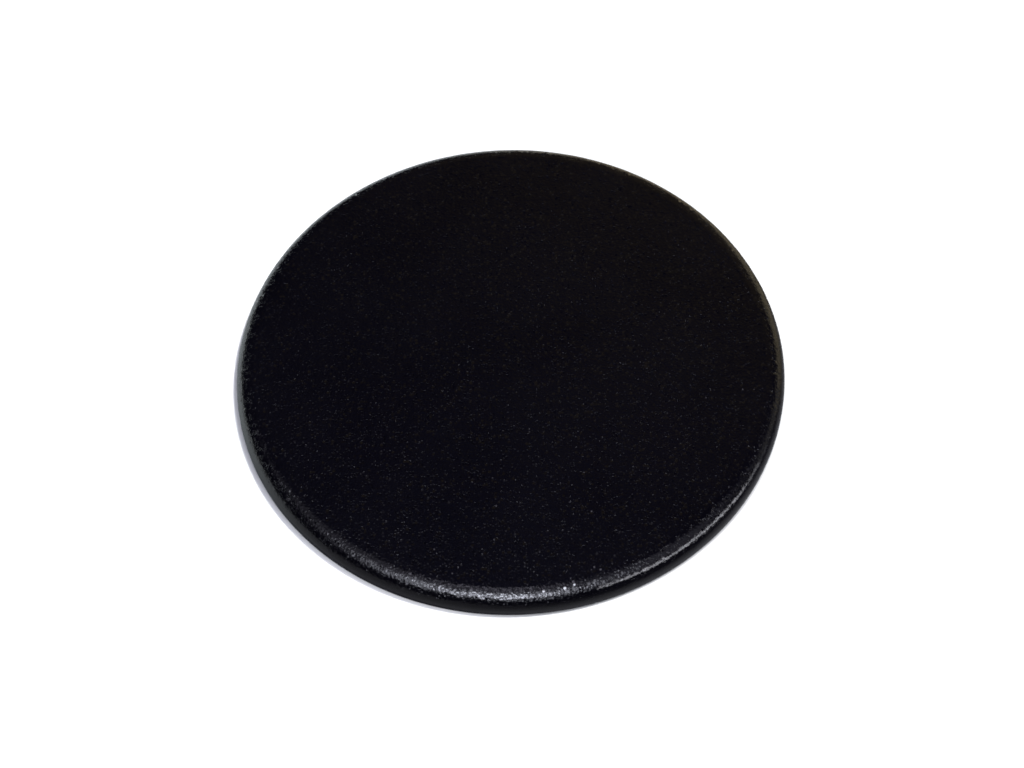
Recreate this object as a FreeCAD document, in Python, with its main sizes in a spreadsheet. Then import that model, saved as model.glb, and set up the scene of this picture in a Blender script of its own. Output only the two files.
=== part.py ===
"""Gas burner cap: a round, flat, one-piece pressed-steel lid with a turned-down rim.

Frame: millimetres, +Z up. The origin is the centre of the rim's bottom plane, and +Z is
the axis of the cap, so the flat top lies at Z = cap_height.
"""
import FreeCAD, Part
import Sketcher
import math
import os

doc = FreeCAD.newDocument("gas_burner_cap")

# ---------------------------------------------------------------- driving dimensions
# cap_diameter     outside of the rim
# cap_height       rim's bottom plane to the flat top
# sheet_gauge      thickness of the enamelled sheet, the same all over
# shoulder_radius  outside of the bend between the top and the rim
# rim_round        enamel-rounded edges at the foot of the rim, inside and outside
sheet = doc.addObject("Spreadsheet::Sheet", "Dimensions")
rows = [
    ("cap_diameter", 100.0),
    ("cap_height", 4.4),
    ("sheet_gauge", 2.2),
    ("shoulder_radius", 3.4),
    ("rim_round", 0.35),
]
for i, (alias, value) in enumerate(rows, start=1):
    sheet.set("A%d" % i, alias)
    sheet.set("B%d" % i, "%g" % value)
    sheet.setAlias("B%d" % i, alias)
doc.recompute()
size = {alias: float(sheet.get(alias)) for alias, _ in rows}
R = size["cap_diameter"] / 2.0
H = size["cap_height"]
G = size["sheet_gauge"]
S = size["shoulder_radius"]
E = size["rim_round"]

# ---------------------------------------------------------------- the body
body = doc.addObject("PartDesign::Body", "BurnerCap")
body.Label = "burner_cap"


def origin_feature(role):
    return next(f for f in body.Origin.OriginFeatures if f.Role == role)


def half_section(name, width, height, width_expr, height_expr):
    """A rectangle from the axis outward and from the rim's plane upward, on the XZ plane."""
    sk = body.newObject("Sketcher::SketchObject", name)
    sk.AttachmentSupport = [(origin_feature("XZ_Plane"), "")]
    sk.MapMode = "FlatFace"
    p = [
        FreeCAD.Vector(0, 0, 0),
        FreeCAD.Vector(width, 0, 0),
        FreeCAD.Vector(width, height, 0),
        FreeCAD.Vector(0, height, 0),
    ]
    for k in range(4):
        sk.addGeometry(Part.LineSegment(p[k], p[(k + 1) % 4]), False)
    for k in range(4):
        sk.addConstraint(Sketcher.Constraint("Coincident", k, 2, (k + 1) % 4, 1))
    sk.addConstraint(Sketcher.Constraint("Horizontal", 0))
    sk.addConstraint(Sketcher.Constraint("Vertical", 1))
    sk.addConstraint(Sketcher.Constraint("Horizontal", 2))
    sk.addConstraint(Sketcher.Constraint("Vertical", 3))
    sk.addConstraint(Sketcher.Constraint("Coincident", 0, 1, -1, 1))
    w = sk.addConstraint(Sketcher.Constraint("DistanceX", 0, 1, 0, 2, width))
    h = sk.addConstraint(Sketcher.Constraint("DistanceY", 1, 1, 1, 2, height))
    sk.renameConstraint(w, "half_width")
    sk.renameConstraint(h, "height")
    sk.setExpression("Constraints.half_width", width_expr)
    sk.setExpression("Constraints.height", height_expr)
    doc.recompute()
    return sk


def circle_edge(feature, radius, z):
    """The name of the one full-circle edge of this radius at this height."""
    found = []
    for n, e in enumerate(feature.Shape.Edges, start=1):
        c = e.Curve
        if isinstance(c, Part.Circle) and abs(c.Radius - radius) < 1e-4 and abs(c.Center.z - z) < 1e-4:
            found.append("Edge%d" % n)
    if len(found) != 1:
        raise RuntimeError("edge r=%g z=%g found %d times" % (radius, z, len(found)))
    return found[0]


# the outer form: a plain disc as tall as the cap
disc_sketch = half_section(
    "DiscSection", R, H, "Dimensions.cap_diameter / 2", "Dimensions.cap_height"
)
disc = body.newObject("PartDesign::Revolution", "Disc")
disc.Profile = disc_sketch
disc.ReferenceAxis = (disc_sketch, ["V_Axis"])
disc.Angle = 360.0
doc.recompute()
disc_volume = disc.Shape.Volume

# the hollow under the top, one sheet thickness inside the outer form
hollow_sketch = half_section(
    "HollowSection",
    R - G,
    H - G,
    "Dimensions.cap_diameter / 2 - Dimensions.sheet_gauge",
    "Dimensions.cap_height - Dimensions.sheet_gauge",
)
hollow = body.newObject("PartDesign::Groove", "Hollow")
hollow.Profile = hollow_sketch
hollow.ReferenceAxis = (hollow_sketch, ["V_Axis"])
hollow.Angle = 360.0
doc.recompute()
removed = disc_volume - hollow.Shape.Volume
expected = math.pi * (R - G) ** 2 * (H - G)
if abs(removed - expected) > 1e-3 * expected:
    raise RuntimeError("the hollow took %.2f mm3, expected %.2f" % (removed, expected))

# the outside of the bend between the top and the rim
shoulder = body.newObject("PartDesign::Fillet", "Shoulder")
shoulder.Base = (hollow, [circle_edge(hollow, R, H)])
shoulder.Radius = S
shoulder.setExpression("Radius", "Dimensions.shoulder_radius")
doc.recompute()

# the inside of the same bend, concentric with the outside
bend_inside = body.newObject("PartDesign::Fillet", "BendInside")
bend_inside.Base = (shoulder, [circle_edge(shoulder, R - G, H - G)])
bend_inside.Radius = S - G
bend_inside.setExpression("Radius", "Dimensions.shoulder_radius - Dimensions.sheet_gauge")
doc.recompute()

# the foot of the rim: both edges rounded by the enamel
rim_foot = body.newObject("PartDesign::Fillet", "RimFoot")
rim_foot.Base = (
    bend_inside,
    [circle_edge(bend_inside, R, 0.0), circle_edge(bend_inside, R - G, 0.0)],
)
rim_foot.Radius = E
rim_foot.setExpression("Radius", "Dimensions.rim_round")
doc.recompute()

body.Tip = rim_foot
body.Placement = FreeCAD.Placement()
doc.recompute()

# ---------------------------------------------------------------- nothing failed, sizes are right
for obj in doc.Objects:
    bad = [s for s in obj.State if s in ("Invalid", "Error")]
    if bad:
        raise RuntimeError("%s is %s" % (obj.Name, bad))
shape = body.Shape
if shape.isNull() or not shape.isValid() or len(shape.Solids) != 1:
    raise RuntimeError("the cap is not one valid solid")
box = shape.optimalBoundingBox(False, False)
for got, want in (
    (box.XLength, 2 * R),
    (box.YLength, 2 * R),
    (box.ZLength, H),
    (box.ZMin, 0.0),
):
    if abs(got - want) > 1e-3:
        raise RuntimeError("size %.4f, expected %.4f" % (got, want))

os.makedirs("parts", exist_ok=True)
shape.exportStep("parts/burner_cap.step")
print(
    "burner_cap: %.1f x %.1f x %.2f mm, %.0f mm3, %.0f g in steel, %d faces"
    % (box.XLength, box.YLength, box.ZLength, shape.Volume, shape.Volume * 7.85e-3, len(shape.Faces))
)
for n, f in enumerate(shape.Faces, start=1):
    b = f.optimalBoundingBox(False, False)
    print("  face %d %s z %.3f to %.3f, out to r %.3f" % (n, type(f.Surface).__name__, b.ZMin, b.ZMax, b.XMax))
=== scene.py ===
"""Looks of the gas burner cap: a pressed-steel lid in satin black vitreous enamel.

Metres, +Z up, origin at the centre of the rim's bottom plane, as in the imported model.
"""
import math

import bpy
import numpy as np
from mathutils import Matrix, Quaternion, Vector, noise


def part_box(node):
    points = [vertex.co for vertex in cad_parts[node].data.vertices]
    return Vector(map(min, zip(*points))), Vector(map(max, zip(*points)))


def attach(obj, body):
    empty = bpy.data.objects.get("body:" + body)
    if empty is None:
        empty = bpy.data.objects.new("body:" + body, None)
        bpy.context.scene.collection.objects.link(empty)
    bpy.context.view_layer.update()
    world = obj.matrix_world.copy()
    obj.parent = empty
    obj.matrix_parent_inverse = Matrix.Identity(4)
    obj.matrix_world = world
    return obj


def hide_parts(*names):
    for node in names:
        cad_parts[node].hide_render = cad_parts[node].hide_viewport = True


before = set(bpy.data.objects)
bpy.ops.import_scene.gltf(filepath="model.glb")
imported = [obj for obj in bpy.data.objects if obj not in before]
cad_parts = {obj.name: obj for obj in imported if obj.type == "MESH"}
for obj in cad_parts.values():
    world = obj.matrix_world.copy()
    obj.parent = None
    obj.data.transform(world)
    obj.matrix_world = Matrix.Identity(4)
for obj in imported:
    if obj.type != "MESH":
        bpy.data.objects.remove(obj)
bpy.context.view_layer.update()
scene = bpy.context.scene

# ------------------------------------------------------------------ sizes, in metres
low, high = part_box("burner_cap")
R = (high[0] - low[0]) / 2  # outside of the rim
H = high[2] - low[2]  # rim's bottom plane to the flat top
R = min(R, 0.05)
H = min(H, 0.0044)
GAUGE = 0.0022  # sheet thickness
SHOULDER = 0.0034  # outside of the bend
FOOT = 0.00035  # rounded edges at the foot of the rim

SIDE = 112  # cells along one side of the square patch in the middle of a flat
AROUND = 4 * SIDE  # cells round the rim
SKIN = 0.000012  # how far the enamel's slow unevenness dips below the nominal surface


# ------------------------------------------------------------------ the cap's mesh
def arc(cr, cz, rad, a0, a1, n):
    """Points (r, z) on an arc, its first point left out."""
    out = []
    for k in range(1, n + 1):
        a = math.radians(a0 + (a1 - a0) * k / n)
        out.append((cr + rad * math.cos(a), cz + rad * math.sin(a)))
    return out


def line(p, q, n):
    return [(p[0] + (q[0] - p[0]) * k / n, p[1] + (q[1] - p[1]) * k / n) for k in range(1, n + 1)]


def section():
    """The cap's half section from the edge of the flat top, over the shoulder, round the foot, to the edge of the flat underside."""
    bend_r, bend_z = R - SHOULDER, H - SHOULDER
    pts = [(bend_r, H)]
    pts += arc(bend_r, bend_z, SHOULDER, 90, 0, 34)
    pts += line(pts[-1], (R, FOOT), 5)
    pts += arc(R - FOOT, FOOT, FOOT, 0, -90, 7)
    pts += line(pts[-1], (R - GAUGE + FOOT, 0.0), 4)
    pts += arc(R - GAUGE + FOOT, FOOT, FOOT, -90, -180, 6)
    pts += line(pts[-1], (R - GAUGE, bend_z), 3)
    pts += arc(bend_r, bend_z, SHOULDER - GAUGE, 0, 90, 10)
    return pts


def flat_patch(edge_r, z, rings):
    """Vertices and quads of a flat disc: a square patch in the middle that rounds off into rings of AROUND cells.
    Returns (points, faces, the indices of the outer ring in order)."""
    half = SIDE // 2
    core = 0.5 * edge_r  # the patch's own outer radius
    pts, index = [], {}
    for j in range(SIDE + 1):
        for i in range(SIDE + 1):
            u, v = (i - half) / half, (j - half) / half
            # square to disc, softened toward the middle so that the cells stay square there
            m = max(abs(u), abs(v))
            if m > 0:
                round_x, round_y = u * m / math.hypot(u, v), v * m / math.hypot(u, v)
                k = m * m
                x, y = (0.72 * u) * (1 - k) + round_x * k, (0.72 * v) * (1 - k) + round_y * k
            else:
                x = y = 0.0
            index[i, j] = len(pts)
            pts.append((x * core, y * core, z))
    faces = [
        (index[i, j], index[i + 1, j], index[i + 1, j + 1], index[i, j + 1])
        for j in range(SIDE)
        for i in range(SIDE)
    ]
    ring = (
        [index[i, 0] for i in range(SIDE)]
        + [index[SIDE, j] for j in range(SIDE)]
        + [index[i, SIDE] for i in range(SIDE, 0, -1)]
        + [index[0, j] for j in range(SIDE, 0, -1)]
    )
    first = [math.atan2(pts[k][1], pts[k][0]) for k in ring]
    # angles go once round from the first corner; the rings even them out on the way to the edge
    turns = [first[0]]
    for a in first[1:]:
        while a < turns[-1] - 1e-9:
            a += 2 * math.pi
        turns.append(a)
    for s in range(1, rings + 1):
        t = s / rings
        r = core + (edge_r - core) * t
        new = []
        for k in range(AROUND):
            even = turns[0] + 2 * math.pi * k / AROUND
            a = turns[k] + (even - turns[k]) * t
            new.append(len(pts))
            pts.append((r * math.cos(a), r * math.sin(a), z))
        for k in range(AROUND):
            n = (k + 1) % AROUND
            faces.append((ring[k], new[k], new[n], ring[n]))
        ring = new
    return pts, faces, ring


def build_cap():
    pts, faces, ring = flat_patch(R - SHOULDER, H, 34)
    start = math.atan2(pts[ring[0]][1], pts[ring[0]][0])
    for r, z in section()[1:]:
        new = []
        for k in range(AROUND):
            a = start + 2 * math.pi * k / AROUND
            new.append(len(pts))
            pts.append((r * math.cos(a), r * math.sin(a), z))
        for k in range(AROUND):
            n = (k + 1) % AROUND
            faces.append((ring[k], new[k], new[n], ring[n]))
        ring = new
    # the underside's flat, closed onto the last ring
    under, under_faces, under_ring = flat_patch(R - SHOULDER, H - GAUGE, 18)
    match = {k: ring[n] for n, k in enumerate(under_ring)}
    shift = {}
    for k, p in enumerate(under):
        if k in match:
            shift[k] = match[k]
        else:
            shift[k] = len(pts)
            pts.append(p)
    faces += [tuple(shift[k] for k in reversed(f)) for f in under_faces]
    mesh = bpy.data.meshes.new("enamelled_cap")
    mesh.from_pydata(pts, [], faces)
    mesh.validate()
    mesh.update()
    # fired enamel is never dead flat: a slow unevenness, inward only, so that the size stays
    normals = np.empty(3 * len(mesh.vertices), dtype=np.float32)
    mesh.vertex_normals.foreach_get("vector", normals)
    normals = normals.reshape(-1, 3).astype(float)
    co = np.array(pts, dtype=float)
    dip = np.empty(len(co))
    for k, p in enumerate(co):
        v = Vector(p)
        h = 0.5 + 0.35 * noise.noise(v * 130.0) + 0.15 * noise.noise(v * 330.0 + Vector((7.1, 3.3, 1.9)))
        dip[k] = SKIN * min(1.0, max(0.0, h))
    # the foot stays flat, because the cap rests on it
    dip *= np.clip(co[:, 2] / 0.0006, 0.0, 1.0)
    mesh.vertices.foreach_set("co", (co - normals * dip[:, None]).astype(np.float32).ravel())
    mesh.update()
    for p in mesh.polygons:
        p.use_smooth = True
    ob = bpy.data.objects.new("enamelled_cap", mesh)
    scene.collection.objects.link(ob)
    return ob


# ------------------------------------------------------------------ materials
class Nodes:
    """A small helper that adds nodes to the tree of one material or world and links them."""

    def __init__(self, tree):
        self.tree = tree
        self.tree.nodes.clear()

    def add(self, kind, **props):
        n = self.tree.nodes.new(kind)
        for k, v in props.items():
            setattr(n, k, v)
        return n

    def link(self, a, b):
        self.tree.links.new(a, b)

    def noise(self, vector, scale, detail=2.0, rough=0.5):
        n = self.add("ShaderNodeTexNoise")
        n.inputs["Scale"].default_value = scale
        n.inputs["Detail"].default_value = detail
        n.inputs["Roughness"].default_value = rough
        self.link(vector, n.inputs["Vector"])
        return n.outputs["Fac"]

    def ramp(self, value, lo, hi, to_lo, to_hi, smooth=True):
        n = self.add("ShaderNodeMapRange")
        n.interpolation_type = "SMOOTHSTEP" if smooth else "LINEAR"
        self.link(value, n.inputs["Value"])
        for key, x in (("From Min", lo), ("From Max", hi), ("To Min", to_lo), ("To Max", to_hi)):
            n.inputs[key].default_value = x
        return n.outputs["Result"]

    def math(self, op, a, b):
        n = self.add("ShaderNodeMath", operation=op)
        for k, x in enumerate((a, b)):
            if isinstance(x, (int, float)):
                n.inputs[k].default_value = x
            else:
                self.link(x, n.inputs[k])
        return n.outputs["Value"]

    def mix(self, factor, a, b):
        n = self.add("ShaderNodeMix", data_type="RGBA")
        self.link(factor, n.inputs["Factor"])
        for key, c in ((6, a), (7, b)):
            if isinstance(c, tuple):
                n.inputs[key].default_value = (*c, 1)
            else:
                self.link(c, n.inputs[key])
        return n.outputs[2]


def new_material(name):
    """A material with a Principled shader. Returns (material, its nodes, the shader)."""
    material = bpy.data.materials.new(name)
    material.use_nodes = True
    m = Nodes(material.node_tree)
    out = m.add("ShaderNodeOutputMaterial")
    bsdf = m.add("ShaderNodeBsdfPrincipled")
    m.link(bsdf.outputs["BSDF"], out.inputs["Surface"])
    return material, m, bsdf


def enamel():
    """Satin black vitreous enamel: a glassy coat with a fine grain on the top and shoulder, smooth down the side."""
    material, m, bsdf = new_material("satin_black_enamel")
    place = m.add("ShaderNodeTexCoord").outputs["Object"]
    xyz = m.add("ShaderNodeSeparateXYZ")
    m.link(place, xyz.inputs["Vector"])
    # 1 on the top and the upper shoulder, falling to almost nothing down the side of the rim
    upper = m.ramp(xyz.outputs["Z"], 0.0020, 0.0038, 0.08, 1.0)

    slow = m.noise(place, 55.0, 3.0)
    fine = m.noise(place, 900.0, 2.0)
    black = m.mix(m.ramp(slow, 0.35, 0.65, 0.0, 1.0), (0.0006, 0.0005, 0.0012), (0.0008, 0.0007, 0.0015))
    m.link(black, bsdf.inputs["Base Color"])
    rough = m.math("ADD", m.ramp(slow, 0.3, 0.7, 0.13, 0.16), m.ramp(fine, 0.3, 0.7, -0.02, 0.02))
    bsdf.inputs["IOR"].default_value = 1.5
    bsdf.inputs["Metallic"].default_value = 0.0

    # scattered grains that lie at an angle of their own and glint
    cells = m.add("ShaderNodeTexVoronoi", label="cells")
    cells.inputs["Scale"].default_value = 1950.0
    m.link(place, cells.inputs["Vector"])
    chance = m.add("ShaderNodeSeparateColor")
    m.link(cells.outputs["Color"], chance.inputs["Color"])
    steep = m.ramp(chance.outputs["Red"], 0.35, 1.0, 0.0, 0.57, smooth=False)
    steep.node.label = "steep"
    lean = m.math("MULTIPLY", steep, steep)
    spot = m.ramp(cells.outputs["Distance"], 0.42, 0.62, 1.0, 0.0)
    spot.node.label = "spot"
    amount = m.math("MULTIPLY", m.math("MULTIPLY", lean, spot), upper)
    # they are glassier than the rest
    sheen = m.ramp(m.math("MULTIPLY", steep, spot), 0.10, 0.35, 1.0, 0.45)
    sheen.node.label = "sheen"
    m.link(m.math("MULTIPLY", rough, sheen), bsdf.inputs["Roughness"])
    tip = m.add("ShaderNodeCombineXYZ")
    for axis, channel in (("X", "Green"), ("Y", "Blue")):
        way = m.ramp(chance.outputs[channel], 0.0, 1.0, -1.0, 1.0, smooth=False)
        m.link(m.math("MULTIPLY", way, amount), tip.inputs[axis])
    # the fine grain, left out on those, and finer on the flat top than on the shoulder
    grain = m.noise(place, 2500.0, 1.0, 0.5)
    peel = m.noise(place, 420.0, 1.0)
    between = m.ramp(m.math("MULTIPLY", steep, spot), 0.05, 0.30, 1.0, 0.10)
    between.node.label = "between"
    calm = m.ramp(xyz.outputs["Z"], 0.00422, 0.00438, 1.0, 0.55)
    calm.node.label = "calm"
    strength = m.math("MULTIPLY", m.math("MULTIPLY", upper, calm), between)
    height = m.math("ADD", m.math("MULTIPLY", grain, strength), m.math("MULTIPLY", peel, 0.4))
    tilted = m.add("ShaderNodeVectorMath", operation="ADD")
    m.link(m.add("ShaderNodeNewGeometry").outputs["Normal"], tilted.inputs[0])
    m.link(tip.outputs["Vector"], tilted.inputs[1])
    facing = m.add("ShaderNodeVectorMath", operation="NORMALIZE")
    m.link(tilted.outputs["Vector"], facing.inputs[0])

    bump = m.add("ShaderNodeBump")
    bump.inputs["Strength"].default_value = 1.0
    bump.inputs["Distance"].default_value = 0.000085
    m.link(height, bump.inputs["Height"])
    m.link(facing.outputs["Vector"], bump.inputs["Normal"])
    m.link(bump.outputs["Normal"], bsdf.inputs["Normal"])
    return material


cap = build_cap()
cap.data.materials.append(enamel())
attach(cap, "root")
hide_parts("burner_cap")


# ------------------------------------------------------------------ floor, light, camera
def floor():
    mesh = bpy.data.meshes.new("floor")
    size, z = 3.0, -0.00001
    mesh.from_pydata([(-size, -size, z), (size, -size, z), (size, size, z), (-size, size, z)], [], [(0, 1, 2, 3)])
    ob = bpy.data.objects.new("floor", mesh)
    scene.collection.objects.link(ob)
    material, m, bsdf = new_material("pale_floor")
    bsdf.inputs["Roughness"].default_value = 0.9
    bsdf.inputs["Specular IOR Level"].default_value = 0.0
    place = m.add("ShaderNodeTexCoord").outputs["Object"]
    xyz = m.add("ShaderNodeSeparateXYZ")
    m.link(place, xyz.inputs["Vector"])
    length = m.add("ShaderNodeVectorMath", operation="LENGTH")
    m.link(place, length.inputs[0])
    # a painted reflection, seen in the cap's gloss only: the table is painted dark in front, where the camera
    # stands, and pale behind on both sides; on the left and the right it is painted darker close round the rim, a
    # painted contact shade, and in front a narrow ring round the rim is painted lighter than the dark beyond; far
    # from the cap it is painted dark
    slant = m.math("ADD", xyz.outputs["Y"], m.math("MULTIPLY", xyz.outputs["X"], -0.3))
    behind = m.ramp(slant, -0.035, 0.010, 0.0, 1.0)
    side = m.ramp(xyz.outputs["X"], -0.03, 0.03, 0.0, 1.0)
    out = length.outputs["Value"]
    left = m.mix(m.ramp(out, 0.0500, 0.0560, 0.0, 1.0), (0.15, 0.165, 0.165), (0.35, 0.38, 0.38))
    right = m.mix(m.ramp(out, 0.0510, 0.0680, 0.0, 1.0), (0.045, 0.041, 0.033), (0.29, 0.242, 0.152))
    apart = m.mix(side, (0.092, 0.092, 0.097), (0.012, 0.012, 0.014))
    front = m.mix(m.ramp(out, 0.0515, 0.0585, 0.0, 1.0), (0.105, 0.105, 0.110), apart)
    painted_reflection = m.mix(behind, front, m.mix(side, left, right))
    painted_reflection = m.mix(m.ramp(out, 0.075, 0.130, 0.0, 0.75), painted_reflection, (0.03, 0.03, 0.03))
    # a narrow contact shade round the foot, deepest at the front on the right
    corner = m.math("ADD", m.math("MULTIPLY", xyz.outputs["X"], 0.5), m.math("MULTIPLY", xyz.outputs["Y"], -0.866))
    deep = m.ramp(corner, 0.036, 0.049, 0.25, 0.64)
    light = m.math("SUBTRACT", 1.0, m.math("MULTIPLY", deep, m.ramp(out, 0.0500, 0.05075, 1.0, 0.0)))
    pale = m.mix(light, (0.0, 0.0, 0.0), (0.55, 0.55, 0.55))
    # glossy rays see the painted reflection, all other rays the pale floor with its painted contact shade
    path = m.add("ShaderNodeLightPath")
    m.link(m.mix(path.outputs["Is Glossy Ray"], pale, painted_reflection), bsdf.inputs["Base Color"])
    # it glows for the camera only: it runs out to white away from the cap, so that no horizon shows from the side,
    # and in front of the cap a little painted light lightens the floor
    bsdf.inputs["Emission Color"].default_value = (1, 1, 1, 1)
    white = m.math("ADD", m.ramp(out, 0.07, 0.20, 0.0, 1.0), m.ramp(xyz.outputs["Y"], -0.050, -0.015, 0.30, 0.0))
    m.link(m.math("MULTIPLY", m.math("MULTIPLY", white, light), path.outputs["Is Camera Ray"]), bsdf.inputs["Emission Strength"])
    mesh.materials.append(material)
    return ob


def softbox(name, azimuth, elevation, distance, width, height, radiance, colour=(1, 1, 1), gloss=True, diffuse=True, roll=0.0):
    """A rectangular soft light that faces the cap. Azimuth 0 is the camera's side, positive to the right.
    A negative roll raises the end of it that is nearer the camera."""
    a, e = math.radians(azimuth), math.radians(elevation)
    at = Vector((math.sin(a) * math.cos(e), -math.cos(a) * math.cos(e), math.sin(e))) * distance
    light = bpy.data.lights.new(name, "AREA")
    light.shape = "RECTANGLE"
    light.size, light.size_y = width, height
    light.energy = radiance * math.pi * width * height
    light.color = colour
    ob = bpy.data.objects.new(name, light)
    ob.location = at
    ob.rotation_mode = "QUATERNION"
    ob.rotation_quaternion = (-at).to_track_quat("-Z", "Y") @ Quaternion((0, 0, 1), math.radians(roll))
    ob.visible_camera = False
    ob.visible_glossy = gloss
    ob.visible_diffuse = diffuse
    scene.collection.objects.link(ob)
    return ob


floor()
softbox("key_front", -13, 53, 1.2, 1.20, 0.78, 3.0, (0.85, 0.88, 1.0), roll=-9)
softbox("key_core", -8, 51.5, 1.15, 0.38, 0.22, 21.5, (0.85, 0.88, 1.0), roll=-9)
# a slim strip beside the rim at the front on the right, in short lengths that follow the rim;
# it stands lower than the top, so it lights the shoulder only
for k, (bearing, radius, height, tall, radiance) in enumerate((
        (65.7, 0.0516, 0.00322, 0.0007, 0.35), (60.6, 0.0517, 0.00336, 0.0007, 2.1),
        (55.5, 0.0518, 0.00354, 0.0007, 4.5), (50.5, 0.0518, 0.00380, 0.0008, 6.4), (45.0, 0.0511, 0.00398, 0.0008, 6.8),
        (39.8, 0.0507, 0.00400, 0.0007, 6.8), (34.6, 0.0505, 0.00402, 0.0007, 6.4), (29.4, 0.0502, 0.00404, 0.0007, 6.2),
        (24.3, 0.0501, 0.00405, 0.0006, 6.0), (19.2, 0.0500, 0.00406, 0.0006, 5.0))):
    up = math.degrees(math.atan2(height, radius))
    softbox(f"strip_{k}", bearing, up, math.hypot(radius, height), 0.0047, tall, radiance, (0.92, 0.93, 1.0), diffuse=False)
# a dim card beside the rim on the left, in short lengths as well and lower than the top
for k in range(12):
    taper = min(1.0, (k + 1) / 3, (12 - k) / 3)
    up = math.degrees(math.atan2(0.0034, 0.0516))
    softbox(f"card_{k}", -60 - 5.2 * k, up, math.hypot(0.0516, 0.0034), 0.0048, 0.0006, 0.75 * taper, (0.93, 1.0, 1.0), diffuse=False)
softbox("sky_glow", 6, 62, 0.25, 0.66, 0.22, 0.36, (0.85, 0.83, 1.0), roll=-9)
softbox("glow_left", -88, 64, 0.28, 0.14, 0.16, 0.32, (0.85, 0.83, 1.0))
softbox("lamp_above", -60, 86.5, 0.25, 0.050, 0.050, 2.2, (0.85, 0.83, 1.0))
softbox("floor_wash", 116, 65, 1.4, 0.22, 0.22, 258.0, gloss=False)

# a dim room round the table: a grey wall low on the left, a warm one low on the right, a warm glow high behind
# and a cool one above it; to the camera a white backdrop
world = bpy.data.worlds.new("dim_room")
world.use_nodes = True
w = Nodes(world.node_tree)
toward = w.add("ShaderNodeTexCoord").outputs["Generated"]
axes = w.add("ShaderNodeSeparateXYZ")
w.link(toward, axes.inputs["Vector"])
# degrees round from the camera's side, positive to the right
bearing = w.math("MULTIPLY", w.math("ARCTAN2", axes.outputs["X"], w.math("MULTIPLY", axes.outputs["Y"], -1.0)), 180 / math.pi)


def wall(begin, full, full_to, end, top, top_end):
    """A patch of the room between two bearings, up to a height (the sine of the elevation), with soft edges."""
    across = w.math("MULTIPLY", w.ramp(bearing, begin, full, 0.0, 1.0), w.ramp(bearing, full_to, end, 1.0, 0.0))
    return w.math("MULTIPLY", across, w.ramp(axes.outputs["Z"], top, top_end, 1.0, 0.0))


warm = w.add("ShaderNodeVectorMath", operation="DOT_PRODUCT")
w.link(toward, warm.inputs[0])
warm.inputs[1].default_value = Vector((0.25, 0.80, 0.55)).normalized()
room = w.mix(w.ramp(warm.outputs["Value"], 0.885, 0.975, 0.0, 1.0), (0.010, 0.010, 0.014), (0.140, 0.110, 0.052))
cool = w.add("ShaderNodeVectorMath", operation="DOT_PRODUCT")
w.link(toward, cool.inputs[0])
cool.inputs[1].default_value = Vector((-0.03, 0.44, 0.90)).normalized()
room = w.mix(w.ramp(cool.outputs["Value"], 0.987, 1.0, 0.0, 1.0), room, (0.045, 0.050, 0.095))
room = w.mix(wall(84.0, 96.0, 106.0, 118.0, 0.30, 0.60), room, (0.27, 0.27, 0.28))
room = w.mix(wall(-152.0, -136.0, -104.0, -84.0, 0.05, 0.19), room, (0.13, 0.14, 0.14))
room = w.mix(wall(100.0, 120.0, 142.0, 158.0, 0.14, 0.34), room, (0.75, 0.64, 0.41))
path = w.add("ShaderNodeLightPath")
shade = w.add("ShaderNodeBackground")
w.link(w.mix(path.outputs["Is Camera Ray"], room, (1.0, 1.0, 1.0)), shade.inputs["Color"])
w.link(shade.outputs["Background"], w.add("ShaderNodeOutputWorld").inputs["Surface"])
scene.world = world

# the guides aren't filtered first, so that the enamel's grain stays sharp
scene.cycles.use_denoising = True
scene.cycles.denoiser = "OPENIMAGEDENOISE"
scene.cycles.denoising_input_passes = "RGB_ALBEDO_NORMAL"
scene.cycles.denoising_prefilter = "NONE"
scene.cycles.filter_width = 1.8
scene.view_settings.view_transform = "Standard"
scene.view_settings.look = "None"
scene.view_settings.exposure = 0.0
scene.view_settings.gamma = 1.0

# the camera, from the outline of the cap in the photograph
ELEVATION, ROLL, DISTANCE, LENS = math.radians(57.248), math.radians(-1.675), 0.360, 69.310
AIM = Vector((0.000225, -0.003208, 0.0))
back = Vector((0.0, -math.cos(ELEVATION), math.sin(ELEVATION)))
camera = bpy.data.cameras.new("camera")
camera.sensor_width = 36.0
camera.lens = LENS
camera.clip_start, camera.clip_end = 0.01, 20.0
eye = bpy.data.objects.new("camera", camera)
turn = (-back).to_track_quat("-Z", "Y").to_matrix().to_4x4() @ Matrix.Rotation(ROLL, 4, "Z")
eye.matrix_world = Matrix.Translation(AIM + back * DISTANCE) @ turn
scene.collection.objects.link(eye)
scene.camera = eye

# ------------------------------------------------------------------ the last line
bpy.context.view_layer.update()
